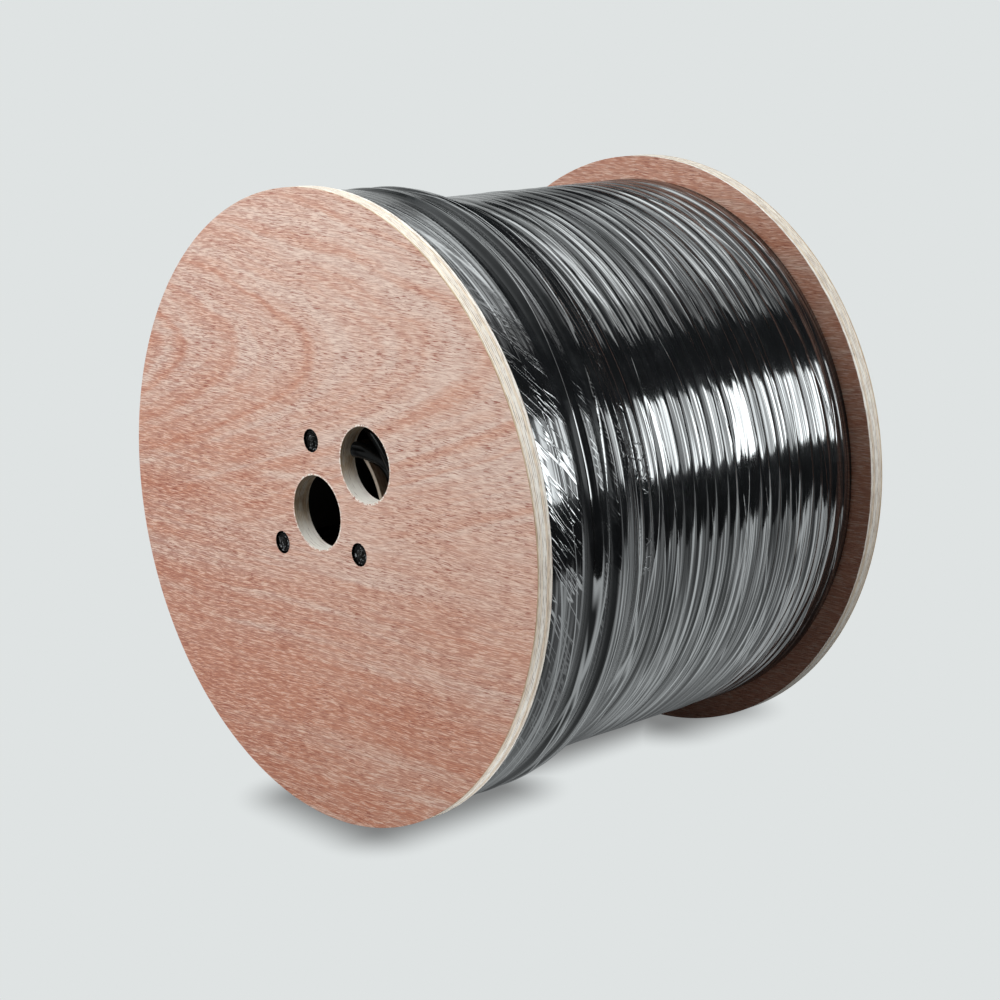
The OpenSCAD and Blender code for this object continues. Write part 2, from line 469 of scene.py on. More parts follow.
def group(name, inputs, outputs):
    """A shader node group with named sockets: its tree, its inputs by name and its output node.

    An input with no default is a vector.
    """
    tree = bpy.data.node_groups.new(name, "ShaderNodeTree")
    for label, default in inputs.items():
        kind = "NodeSocketVector" if default is None else "NodeSocketFloat"
        made = tree.interface.new_socket(label, in_out="INPUT", socket_type=kind)
        if default is not None:
            made.default_value = default
    for label in outputs:
        tree.interface.new_socket(label, in_out="OUTPUT", socket_type="NodeSocketFloat")
    start, end = tree.nodes.new("NodeGroupInput"), tree.nodes.new("NodeGroupOutput")
    return tree, {label: Value(start.outputs[label]) for label in inputs}, end


def axis_group(name):
    """Place on the drum from Object coordinates: across, along and up from the axis, angle and radius."""
    labels = ("Across", "Along", "Up", "Angle", "Radius")
    tree, given, end = group(name, {"Place": None}, labels)
    across, along, height = split(given["Place"])
    up = height - AXIS_Z
    for label, value in zip(labels, (across, along, up, calc("ARCTAN2", up, across), reach(across, up))):
        plug(end, label, value)
    return tree


def fibre_group(name):
    """Fine streaks that are long one way and thin the other, as a mask from 0 to 1."""
    inputs = {"Along": 0.0, "Across": 0.0, "Depth": 0.0, "Long": 120.0, "Thin": 900.0, "From": 0.5, "To": 0.7}
    tree, given, end = group(name, inputs, ["Mask"])
    place = join(given["Along"] * given["Long"], given["Across"] * given["Thin"], given["Depth"] * 700.0)
    plug(end, "Mask", fit(noise(place, 1.0, 2.5, 0.6), given["From"], given["To"]))
    return tree


def soiling_group(name):
    """Uneven handling marks and dust, as a mask from 0 to 1."""
    tree, given, end = group(name, {"Place": None, "Scale": 20.0}, ["Mask"])
    plug(end, "Mask", fit(noise(given["Place"], given["Scale"], 5.0, 0.62), 0.42, 0.72))
    return tree


EFFECTS = {"Drum Axis": axis_group, "Fibres": fibre_group, "Soiling": soiling_group}


def use(tree, name, **sockets):
    """Places a shared effect, made at its first use, and gives its outputs by name."""
    effect = bpy.data.node_groups.get(name) or EFFECTS[name](name)
    made = put(tree, "ShaderNodeGroup", node_tree=effect)
    feed(made, **sockets)
    return {output.name: Value(output) for output in made.outputs}


def soiling(place, scale):
    return use(place.tree, "Soiling", Place=place, Scale=scale)["Mask"]


# Finishes

def veneer_material(colours, sizes):
    """Face veneer: nested arcs in the upper half, straight redder bands below, fine pores along the grain."""
    material, tree, shader = new_material("Face veneer")
    place = object_place(tree)
    axis = use(tree, "Drum Axis", Place=place)
    x, y, up = axis["Across"], axis["Along"], axis["Up"]
    leaf = y * 40.0

    def streaks(long, thin, across, detail=3.0):
        """Noise in streaks along the grain, about zero."""
        return noise(join(x * long, leaf, across * thin), 1.0, detail, 0.6) - 0.5

    def fibres(depth, long, thin, start, end):
        return use(tree, "Fibres", Along=x, Across=wavy, Depth=depth, Long=long, Thin=thin, From=start,
                   To=end)["Mask"]

    def fringe(distance, radius):
        """A thin ring round a hole."""
        return fit(distance, radius + 0.0004, radius + 0.0017, 1.0, 0.0)

    sway = streaks(7.0, 15.0, up)
    # Growth rings: arcs that open to the left about a line in the upper half
    off = up - (x * 0.12 + 0.108) + sway * 0.022
    bow = calc("SQRT", off * off + 0.0036)
    arcs = line_noise(bow * 5.4 + sway * 0.05 + x + leaf, 30.0) * fit(abs(off), 0.15, 0.05)
    # Grain lines lean up to the right, more so lower down
    lean = up * -0.25 + 0.05
    wavy = up - x * lean + sway * 0.010
    lower = fit(up, 0.08, -0.19)
    left = fit(x, 0.05, -0.2)
    bands = streaks(2.2, 62.0, wavy) * fit(lower, 0.1, 0.6, 0.3, 1.0)
    thin_bands = streaks(4.0, 150.0, wavy) * fit(x * 0.8 + up, 0.10, -0.10, 0.3, 1.0)
    columns = streaks(26.0, 6.0, up, 2.0)
    # The inner face of the back flange is redder
    middle = sizes.half_width - sizes.flange_thickness / 2
    inside = fit(y, -0.01, 0.01) * fit(y, middle - 0.002, middle + 0.002, 1.0, 0.0)
    tint = inside * 0.6 + lower * 0.68 + left * 0.13 + 0.17
    tint = tint + arcs * 1.9 + bands * 2.3 + thin_bands * 2.0 + columns * 0.35
    wood = ramp(tint, [(0.0, colours.veneer_pale), (0.5, colours.veneer_rose), (1.0, colours.veneer_red)])
    # Hatch of short dark and pale fibres, with deeper pores scattered in it
    hatch = fibres(y, 105.0, 1500.0, 0.36, 0.64)
    pores = fibres(leaf, 110.0, 1450.0, 0.535, 0.62) * fit(streaks(30.0, 60.0, wavy), -0.2, 0.2, 0.35, 1.0)
    dark = fit(lower, 0.1, 0.6, 0.45, 0.56) + left * 0.20
    wood = mix(dark * hatch, wood, colours.pore)
    wood = mix(fit(hatch, 0.25, 0.0, 0.0, 0.55), wood, colours.veneer_pale)
    wood = mix(pores, wood, colours.pore)
    # Torn pale fibres round the holes
    lead_x, lead_up = lead_spot(sizes)
    lead = fringe(reach(x - lead_x, up - lead_up), sizes.lead_radius) * fit(y, -0.01, 0.01, 1.0, 0.0)
    torn = fit(noise(place, 700.0, 3.0, 0.6), 0.44, 0.56)
    frayed = larger(fringe(axis["Radius"], sizes.bore_radius), lead) * torn
    wood = mix(frayed, wood, colours.ply_white)
    wood = mix(soiling(place, 14.0) * 0.12, wood, colours.veneer_rose)
    relief = hatch * -0.5 + frayed - pores
    feed(shader, Base_Color=wood, Roughness=fit(pores, 0.0, 1.0, 0.56, 0.74),
         Normal=bump(relief, 0.00012, 0.7))
    return material


def ply_material(colours, sizes):
    """Cut edge of the plywood: plies, glue lines with voids, and grain that turns round the rim."""
    material, tree, shader = new_material("Plywood edge", Roughness=0.6)
    axis = use(tree, "Drum Axis", Place=object_place(tree))
    x, y, up = axis["Across"], axis["Along"], axis["Up"]
    white, cream, brown = colours.ply_white, colours.ply_cream, colours.ply_brown

    def blots(along, thick, detail=4.0, roughness=0.6):
        return noise(join(x * along, y * thick, up * along), 1.0, detail, roughness)

    depth = (abs(y) - (sizes.half_width - sizes.flange_thickness)) / sizes.flange_thickness
    ply = (blots(36.0, 60.0) - 0.5) * 0.14 + depth
    wood = ramp(ply, [(0.0, white), (0.16, white), (0.20, cream), (0.34, cream), (0.38, white), (0.62, white),
                      (0.68, cream), (0.80, white), (0.92, cream), (0.97, brown), (1.0, brown)])
    # The plies take turns at showing end grain and long grain
    quarter = calc("COSINE", axis["Angle"] * 2.0 + 0.9)
    swap = calc("SINE", ply * 9.0)
    wood = mix(fit(quarter * swap, -0.2, 1.0, 0.0, 0.26), wood, brown)
    grain = blots(230.0, 900.0, 4.0, 0.65)
    wood = mix(fit(grain, 0.45, 0.78, 0.0, 0.32), wood, brown)
    leaves = calc("SINE", ply * 57.0)
    streak = fit(leaves, -0.1, 0.9) * fit(blots(90.0, 500.0), 0.40, 0.62)
    wood = mix(streak * 0.75, wood, colours.glue)
    # Walls of the holes: browned, partly by the cutter and partly as painted shade, and made pale where they
    # face up, which is painted light from above
    hole = fit(axis["Radius"], 0.15, 0.12)
    saw = blots(160.0, 420.0)
    wood = mix(hole * fit(saw, 0.40, 0.62, 0.25, 0.75), wood, brown)
    level = split(take(tree, "ShaderNodeNewGeometry", output="Normal"))[2]
    # Painted light: walls that face up are whitened as if lit from above
    painted_top_light = fit(saw * 0.4 + level, 0.35, 1.0, 0.0, 0.97)
    wood = mix(hole * painted_top_light, wood, white)
    wood = mix(fit(blots(60.0, 160.0, 5.0, 0.65), 0.52, 0.75, 0.0, 0.5), wood, colours.ply_grey)
    # Glue lines, torn open in places
    lines = abs(calc("FRACT", ply * 5.0) - 0.5)
    torn = blots(115.0, 300.0, 5.0, 0.7)
    glue = fit(lines, 0.40, 0.48) * fit(torn, 0.46, 0.66, 0.05, 0.75)
    wood = mix(glue, wood, colours.glue)
    gap = fit(lines, 0.34, 0.46) * fit(torn, 0.655, 0.69)
    wood = mix(gap, wood, colours.void)
    feed(shader, Base_Color=wood, Normal=bump(grain * 0.5 - (glue + gap), 0.0002, 0.6))
    return material


def kraft_material(colours, sizes):
    """Spiral-wound kraft paper with a seam that winds along it, paler where it is cut, and near black inside
    as painted shade.
    """
    material, tree, shader = new_material("Kraft paper", Roughness=0.8)
    place = object_place(tree)
    axis = use(tree, "Drum Axis", Place=place)
    angle, y, radius = axis["Angle"], axis["Along"], axis["Radius"]
    fibre = use(tree, "Fibres", Along=angle * sizes.barrel_radius, Across=y, Depth=radius, Long=180.0,
                Thin=500.0, From=0.35, To=0.75)["Mask"]
    strip_width = 0.09
    seam = fit(calc("FRACT", y / strip_width + angle / math.tau), 0.0, 0.03, 1.0, 0.0)
    paper = mix(fibre * 0.45, colours.kraft, colours.kraft_edge)
    paper = mix(seam * 0.6, paper, colours.kraft_seam)
    end = sizes.half_width - sizes.flange_thickness
    cut = fit(abs(y), end - 0.0008, end - 0.0002)
    layers = fit(calc("SINE", radius * 9000.0), -0.4, 1.0, 0.0, 0.35)
    paper = mix(cut, paper, mix(layers, colours.kraft_edge, colours.kraft))
    paper = mix(soiling(place, 30.0) * 0.2, paper, colours.kraft_soil)
    # Painted shade: the inside of the tube is near black
    wall = sizes.barrel_radius - sizes.barrel_wall
    paper = mix(fit(radius, wall + 0.0002, wall + 0.0008), colours.painted_bore_shade, paper)
    feed(shader, Base_Color=paper, Normal=bump(fibre * 0.4 - seam, 0.00025, 0.6))
    return material


def jacket_material(colours):
    """Satin black cable jacket with a fine skin and dust."""
    material, tree, shader = new_material("Cable jacket", Specular_IOR_Level=0.14)
    place = object_place(tree)
    soil = soiling(place, 60.0)
    feed(shader, Base_Color=mix(soil * 0.2, colours.jacket, colours.jacket_dust),
         Roughness=fit(soil, 0.0, 1.0, 0.18, 0.36), Normal=bump(noise(place, 900.0, 3.0, 0.6), 0.00004, 0.5))
    return material


def nut_material(colours):
    """Black nuts with a thick uneven gloss coat."""
    material, tree, shader = new_material("Black nut", Specular_IOR_Level=0.05, Coat_IOR=2.6,
                                          Coat_Roughness=0.12)
    place = object_place(tree)
    soil = soiling(place, 260.0)
    feed(shader, Base_Color=mix(soil * 0.3, colours.nut, colours.nut_dust),
         Roughness=fit(soil, 0.0, 1.0, 0.10, 0.26), Coat_Weight=fit(noise(place, 640.0), 0.57, 0.64),
         Normal=bump(noise(place, 420.0, 3.0, 0.55), 0.0012, 1.0))
    return material


def rod_material(colours, sizes):
    """Blackened threaded steel: the thread winds round each rod."""
    material, tree, shader = new_material("Threaded rod", Specular_IOR_Level=0.06, Coat_IOR=2.4,
                                          Coat_Roughness=0.15)
    place = object_place(tree)
    x, y, z = split(place)
    angle = 0.0
    for across, up in rod_spots(sizes):
        aside, above = x - across, z - (AXIS_Z + up)
        near = fit(aside * aside + above * above, 0.00004, 0.00005, 1.0, 0.0)
        angle = angle + near * calc("ARCTAN2", above, aside)
    thread = calc("SINE", y * (math.tau / sizes.thread_pitch) + angle)
    soil = soiling(place, 90.0)
    feed(shader, Base_Color=mix(soil, colours.rod, colours.rod_dust),
         Roughness=fit(soil, 0.0, 1.0, 0.14, 0.36), Coat_Weight=fit(noise(place, 560.0), 0.58, 0.65),
         Normal=bump(noise(place, 520.0, 3.0, 0.55) * 1.6 + thread, 0.0005, 0.9))
    return material


def film_material(colours):
    """Glossy film over black cable: stretch lines along the turns, thin folds across them, crinkles.

    The coat stands for film that lies free of the cable; in the grooves it clings and goes dark, and the coat
    is cut there, in the hollows and on the steep slopes too, as painted shade.
    """
    material, tree, shader = new_material("Stretch film", IOR=1.22, Coat_IOR=4.1, Coat_Roughness=0.08)
    flat = take(tree, "ShaderNodeUVMap", uv_map="Wrap")
    around, along, _ = split(flat)
    groove_and_shade = take(tree, "ShaderNodeAttribute", output="Fac", attribute_name="Groove_and_shade")

    def stretched(lean, long, thin, detail, roughness=0.55):
        """Noise in streaks that lean off the turns."""
        u = around * math.cos(lean) + along * math.sin(lean)
        v = along * math.cos(lean) - around * math.sin(lean)
        return noise(join(u * long, v * thin, lean * 7.0), 1.0, detail, roughness)

    def folds(lean, long, thin, width):
        """Thin raised lines where streaked noise passes its middle."""
        return fit(abs(stretched(lean, long, thin, 1.5) - 0.5), 0.0, width, 1.0, 0.0)

    lines = stretched(0.012, 5.0, 330.0, 3.0)
    fine = stretched(-0.02, 14.0, 900.0, 2.0)
    long_folds = larger(folds(0.10, 1.2, 34.0, 0.012), folds(-0.07, 0.9, 30.0, 0.010))
    # One taut fold where the film leaves the part layer
    drift = line_noise(around, 9.0) * 0.004 + along
    crest = fit(abs(drift - 0.0705), 0.0002, 0.0010, 1.0, 0.0)
    # Crinkles, most on the drum's right: feathered near the front flange, crumpled spots on the slope
    front = fit(along, 0.036, 0.026)
    ridge = fit(along, 0.045, 0.05) * fit(along, 0.066, 0.06)
    slope = fit(along, 0.070, 0.080) * fit(along, 0.106, 0.094)
    side = fit(around, 0.13, 0.20, 0.25, 1.0) * fit(around, 0.31, 0.38, 1.0, 0.3)
    feather = folds(0.62, 24.0, 250.0, 0.05) * larger(front, ridge * 0.5) * side
    spots = fit(noise(flat, 22.0), 0.49, 0.59)
    bent = {0: noise(flat, 150.0, 1.0, output=1), 1: (0.010, 0.010, 0.0), 2: flat}
    bent = take(tree, "ShaderNodeVectorMath", bent, operation="MULTIPLY_ADD")
    cells = take(tree, "ShaderNodeTexVoronoi", {"Vector": bent, "Scale": 140.0}, feature="DISTANCE_TO_EDGE")
    crumple = fit(cells, 0.0, 0.09, 1.0, 0.0) * spots * slope * side
    height = lines * 0.24 + fine * 0.10 + long_folds * 0.20 + crest * 0.30 + feather * 0.18 + crumple * 0.25
    # Free film shines, clinging film is dark; its coat is also cut in the grooves, hollows and steep slopes
    # as painted shade
    broad = stretched(0.03, 3.0, 75.0, 3.0, 0.6)
    thin = stretched(0.02, 7.0, 560.0, 2.0)
    free = fit(lines, 0.40, 0.58, 0.20, 1.0) * fit(broad, 0.34, 0.54, 0.6, 1.0)
    free = free * fit(thin, 0.42, 0.56, 0.20, 1.0) * fit(along, 0.060, 0.070, 0.5, 1.0)
    free = larger(free, feather * 0.9) * (1.0 - groove_and_shade)
    free = larger(larger(free, crumple * 0.6), larger(long_folds, crest) * 0.75)
    haze = soiling(object_place(tree), 40.0)
    normal = bump(height, 0.001, 0.8)
    feed(shader, Base_Color=mix(haze * 0.35, colours.film, colours.film_haze), Coat_Weight=free,
         Roughness=fit(haze, 0.0, 1.0, 0.16, 0.26), Normal=normal, Coat_Normal=normal)
    return material


# Pieces

class CABLEDRUM_OT_flanges(Operator):
    """Model both plywood flanges with their bore, recesses and lead hole"""
    bl_idname = "cabledrum.flanges"
    bl_label = "Flanges"

    def execute(self, context):
        sizes, colours = context.scene.drum_sizes, context.scene.drum_colours
        outer, inner = sizes.half_width, sizes.half_width - sizes.flange_thickness
        materials = veneer_material(colours, sizes), ply_material(colours, sizes), nut_material(colours)
        depth = sizes.half_width - sizes.nut_face + sizes.nut_height
        rods = rod_spots(sizes)
        for node, low, high in (("front_flange", -outer, -inner), ("back_flange", inner, outer)):
            through = (low - PAST, high + PAST)
            piece = turned(node + "_plywood", sizes.flange_radius, low, high, FLANGE_SIDES)
            carve(piece, turned("bore", sizes.bore_radius, *through, HOLE_SIDES))
            if node == "front_flange":
                carve(piece, turned("lead", sizes.lead_radius, *through, HOLE_SIDES, *lead_spot(sizes)))
            mouth = (low - PAST, low + depth) if low < 0 else (high - depth, high + PAST)
            for spot in rods:
                carve(piece, turned("rod_hole", sizes.rod_radius + ROD_PLAY, *through, ROD_HOLE_SIDES, *spot))
                carve(piece, turned("recess", sizes.recess_radius, *mouth, RECESS_SIDES, *spot))
            bevel_edges(piece, sharp(50), sizes.edge_round)
            smooth(piece)
            give(piece, node, "plywood", *materials)
            self.paint(piece, rods, sizes.recess_radius + RECESS_SPILL)
        return {"FINISHED"}

    def paint(self, piece, rods, recess):
        """Veneer on the flat faces, cut plies on the edges and black in the recesses."""
        for face in piece.data.polygons:
            face.material_index = 0 if abs(face.normal.y) > 0.95 else 1
            spot = Vector((face.center.x, face.center.z - AXIS_Z))
            if min((spot - rod).length for rod in rods) < recess:
                face.material_index = 2


class CABLEDRUM_OT_barrel(Operator):
    """Model the paper tube between the flanges"""
    bl_idname = "cabledrum.barrel"
    bl_label = "Barrel"

    def execute(self, context):
        sizes, colours = context.scene.drum_sizes, context.scene.drum_colours
        inner = sizes.half_width - sizes.flange_thickness
        piece = turned("barrel_tube", sizes.barrel_radius, -inner, inner, BARREL_SIDES, fill="NOTHING")
        apply_modifier(piece, "SOLIDIFY", thickness=sizes.barrel_wall, offset=-1.0)
        bevel_edges(piece, sharp(50), TUBE_BREAK)
        smooth(piece)
        give(piece, "barrel", "paper_tube", kraft_material(colours, sizes))
        return {"FINISHED"}


class CABLEDRUM_OT_tie_rods(Operator):
    """Model the three tie rods and their six nuts"""
    bl_idname = "cabledrum.tie_rods"
    bl_label = "Tie rods and nuts"

    def execute(self, context):
        sizes, colours = context.scene.drum_sizes, context.scene.drum_colours
        steel, black = rod_material(colours, sizes), bpy.data.materials["Black nut"]
        spoke = Vector((math.cos(sizes.rod_angle), 0, math.sin(sizes.rod_angle)))
        middle = AXIS + sizes.rod_distance * spoke
        first_rod, first_nut = self.rod(sizes, middle), self.nut(sizes, middle)
        second_nut = twin(first_nut, "back_nut_1_black", Matrix.Rotation(math.pi, 4, spoke), middle)
        for first, node, ending, slot, material in (
                (first_rod, "tie_rod", "_steel", "steel_rod", steel),
                (first_nut, "front_nut", "_black", "black_nut", black),
                (second_nut, "back_nut", "_black", "black_nut", black)):
            give(first, f"{node}_1", slot, material)
            for number in range(2, ROD_COUNT + 1):
                turn = Matrix.Rotation(-(number - 1) * math.tau / ROD_COUNT, 4, "Y")
                copy = twin(first, f"{node}_{number}{ending}", turn, AXIS)
                give(copy, f"{node}_{number}", slot, material)
        return {"FINISHED"}

    def rod(self, sizes, middle):
        """A rod with a thread cut into both its ends."""
        shank = sizes.rod_end - sizes.thread_length

        def in_thread(edge):
            low, high = sorted(abs(vert.co.y) for vert in edge.verts)
            return high - low > 0.002 and low > shank - 0.0001

        piece = turned("tie_rod_1_steel", sizes.rod_radius, -sizes.rod_end, sizes.rod_end, ROD_SIDES,
                       middle.x, middle.z - AXIS_Z)
        bevel_edges(piece, sharp(50), ROD_BREAK, 1)
        bpy.ops.object.mode_set(mode="EDIT")
        for end in (-1, 1):
            bpy.ops.mesh.select_all(action="SELECT")
            bpy.ops.mesh.bisect(plane_co=(0, end * shank, 0), plane_no=(0, 1, 0))
        choose_edges(piece, in_thread)
        rings = round(sizes.thread_length / sizes.thread_pitch) * THREAD_RINGS
        bpy.ops.mesh.subdivide(number_cuts=rings - 1)
        bpy.ops.object.mode_set(mode="OBJECT")
        for vert in piece.data.vertices:
            core = Vector((middle.x, vert.co.y, middle.z))
            out = vert.co - core
            if shank + 0.0001 < abs(vert.co.y) < sizes.rod_end - 1.5 * ROD_BREAK:
                wave = math.tau * vert.co.y / sizes.thread_pitch + math.atan2(out.z, out.x)
                vert.co = core + out * (1 - THREAD_CUT * (1 + math.cos(wave)))
        smooth(piece, 60)
        return piece

    def nut(self, sizes, middle):
        """A hex nut with chamfered corners, its outer face to the front."""
        low, high = -sizes.nut_face, sizes.nut_height - sizes.nut_face
        across, up = middle.x, middle.z - AXIS_Z
        piece = turned("front_nut_1_black", sizes.nut_flats / math.sqrt(3), low, high, 6, across, up,
                       turn=-sizes.rod_angle)
        deselect()
        bpy.ops.mesh.primitive_cone_add(
            vertices=72, radius1=sizes.nut_flats * 0.49,
            radius2=sizes.nut_flats / 2 + sizes.nut_height * math.sqrt(3), depth=sizes.nut_height + 0.00002,
            location=(across, (low + high) / 2, middle.z), rotation=(-math.pi / 2, 0, 0))
        carve(piece, settle(bpy.context.active_object), "INTERSECT")
        carve(piece, turned("thread", sizes.rod_radius + NUT_PLAY, low - PAST, high + PAST, RECESS_SIDES,
                            across, up))
        bevel_edges(piece, sharp(20), NUT_BREAK)
        smooth(piece)
        return piece


class CABLEDRUM_OT_winding(Operator):
    """Model the film over the winding and finish the coil under it"""
    bl_idname = "cabledrum.winding"
    bl_label = "Winding and film"

    def execute(self, context):
        sizes, winding = context.scene.drum_sizes, context.scene.winding_sizes
        colours = context.scene.drum_colours
        inner = sizes.half_width - sizes.flange_thickness
        piece = turned("stretch_film_wrap", winding.film_radius, -inner, inner, winding.around,
                       fill="NOTHING")
        for cuts in FILM_CUTS:
            choose_edges(piece, lambda edge: abs(edge.verts[0].co.y - edge.verts[1].co.y) > 0.0001)
            bpy.ops.mesh.subdivide(number_cuts=cuts)
        bpy.ops.object.mode_set(mode="OBJECT")
        self.shape(piece, inner, winding)
        self.line(piece, inner, winding)
        self.wrap_map(piece, inner, winding)
        smooth(piece, 60)
        give(piece, "stretch_film", "film", film_material(colours))
        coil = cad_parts["cable_coil"]
        coil.data.materials.clear()
        coil.data.materials.append(jacket_material(colours))
        return {"FINISHED"}

    def shape(self, piece, inner, winding):
        """Moves the rings of the film out and in: turns, part layer, slope and strays."""
        mesh = piece.data
        place = vertex_places(mesh)
        angle = np.arctan2(place[:, 2] - AXIS_Z, place[:, 0])
        radius, groove_and_shade = self.radius_at(place[:, 1] + inner, angle, inner, winding)
        place[:, 0] = radius * np.cos(angle)
        place[:, 2] = AXIS_Z + radius * np.sin(angle)
        mesh.vertices.foreach_set("co", place.ravel())
        # The groove depth goes on the mesh, where the film's coat takes it as painted shade
        held = mesh.attributes.new("Groove_and_shade", "FLOAT", "POINT")
        held.data.foreach_set("value", groove_and_shade.astype(np.float32))
        mesh.update()

    def radius_at(self, along, angle, inner, winding):
        """Radius of the film, and how deep in a groove it lies from 0 to 1, which the film's coat takes as
        painted shade.
        """
        dice = np.random.default_rng(WINDING_SEED)
        pitch = 2 * inner / winding.turn_count

        def step(value, low, high):
            t = np.clip((value - low) / (high - low), 0, 1)
            return t * t * (3 - 2 * t)

        def curve(size, harmonics):
            """A smooth random curve round the drum."""
            return sum(size * dice.normal() / k * np.sin(k * angle + dice.uniform(0, math.tau))
                       for k in harmonics)

        turns = step(along, winding.hump_length + 0.012, winding.slope_end)
        radius = np.full_like(along, winding.film_radius)
        groove_and_shade = np.zeros_like(along)
        for number in range(winding.turn_count + 1):
            middle = number * pitch + dice.normal() * winding.wander * 0.4
            middle = middle + curve(winding.wander * 0.7, (1, 2, 3, 5))
            width = dice.uniform(0.0014, 0.0024)
            depth = np.clip(dice.uniform(0.45, 1.0) + curve(0.35, (1, 2, 4)), 0.15, 1.0)
            groove_and_shade = np.maximum(groove_and_shade, depth * np.exp(-((along - middle) / width) ** 2))
            proud = winding.rise * dice.uniform(0, 1) * (0.5 + 0.5 * np.tanh(curve(1.2, (1, 2, 3))))
            radius += proud * turns * np.exp(-((along - middle - pitch / 2) / (0.42 * pitch)) ** 2)
        radius -= winding.dip * groove_and_shade * turns
        # Painted shade: the eased depth of the grooves cuts the film's coat there
        groove_and_shade = groove_and_shade ** 1.6 * turns * 0.74
        # The part layer under bunched film: flat lands with steep steps and hollows between them.
        # Each pair is a place from the front flange in metres and a radius in millimetres.
        lands = ((0.0, 205.4), (0.006, 206.8), (0.016, 207.5), (0.029, 207.6), (0.033, 207.1),
                 (0.0385, 205.3), (0.0415, 205.3), (0.0465, 207.3), (0.053, 207.2), (0.0575, 205.5),
                 (0.060, 205.5), (0.0635, 206.9), (0.071, 206.2), (0.079, 203.9), (0.083, 201.6),
                 (0.087, 199.3), (0.096, 197.5), (0.107, 196.4))
        hollows = ((0.0325, 0.0435), (0.0545, 0.0615), (0.080, 0.0865))
        ribs = ((0.0475, 0.0004), (0.0645, 0.0005), (0.0305, 0.0003))
        grid = np.linspace(-0.01, 0.12, 1301)
        shape = np.interp(grid, [s for s, _ in lands], [r / 1000 for _, r in lands])
        kernel = np.hanning(31)
        shape = np.convolve(np.pad(shape, 15, "edge"), kernel / kernel.sum(), "valid")
        slope = np.gradient(shape, grid)
        stray = 0.0011 * np.sin(angle * 2 + 0.4) + 0.0006 * np.sin(angle * 5 + 2.0)
        near = np.clip(along + stray * step(along, 0.004, 0.02), 0, 0.119)
        hump = np.interp(near, grid, shape) - winding.film_radius
        # Painted shade: steep slopes and hollows of the part layer also cut the film's coat
        tilt = np.interp(near, grid, np.clip((np.abs(slope) - 0.16) / 0.2, 0, 1))
        for low, high in hollows:
            inside = step(near, low - 0.0008, low + 0.0012) * step(-near, -high - 0.0008, 0.0012 - high)
            tilt = np.maximum(tilt, inside)
        for middle, height in ribs:
            hump += height * np.exp(-((near - middle) / 0.0009) ** 2)
        blend = 1 - step(along, winding.slope_end, winding.slope_end + 0.010)
        radius += np.maximum(hump, 0) * blend
        groove_and_shade = np.maximum(groove_and_shade, tilt * blend)
        return radius, groove_and_shade

    def line(self, piece, inner, winding):
        """Turns the film in at its ends and lines it along the coil, so that it is a closed sleeve."""
        full, part = winding.film_radius - FILM_WALL, winding.hump_radius - HUMP_WALL
        choose_edges(piece, lambda edge: edge.is_boundary and edge.verts[0].co.y < 0)
        for along, radius in ((0.0, part), (STEP_START, part), (STEP_END, full), (2 * inner, full)):
            bpy.ops.mesh.extrude_edges_move()
            mesh = bmesh.from_edit_mesh(piece.data)
            for vert in mesh.verts:
                if vert.select:
                    angle = math.atan2(vert.co.z - AXIS_Z, vert.co.x)
                    vert.co = (radius * math.cos(angle), along - inner, AXIS_Z + radius * math.sin(angle))
            bmesh.update_edit_mesh(piece.data)
        choose_edges(piece, lambda edge: edge.is_boundary and edge.verts[0].co.y > 0)
        bpy.ops.mesh.bridge_edge_loops()
        bpy.ops.mesh.select_all(action="SELECT")
        bpy.ops.mesh.normals_make_consistent(inside=False)
        bpy.ops.object.mode_set(mode="OBJECT")

    def wrap_map(self, piece, inner, winding):
        """A map of the film laid flat: metres round the drum and metres from the front flange."""
        mesh = piece.data
        while mesh.uv_layers:
            mesh.uv_layers.remove(mesh.uv_layers[0])
        layer = mesh.uv_layers.new(name="Wrap")
        corner = np.empty(len(mesh.loops), np.int32)
        mesh.loops.foreach_get("vertex_index", corner)
        place = vertex_places(mesh)[corner]
        faces = np.arctan2(place[:, 0], place[:, 2] - AXIS_Z).reshape(-1, 4)
        seam = (faces.max(1) - faces.min(1)) > math.pi
        faces[seam] = np.where(faces[seam] < 0, faces[seam] + math.tau, faces[seam])
        flat = np.stack([faces.ravel() * winding.film_radius, place[:, 1] + inner], 1)
        layer.data.foreach_set("uv", flat.astype(np.float32).ravel())


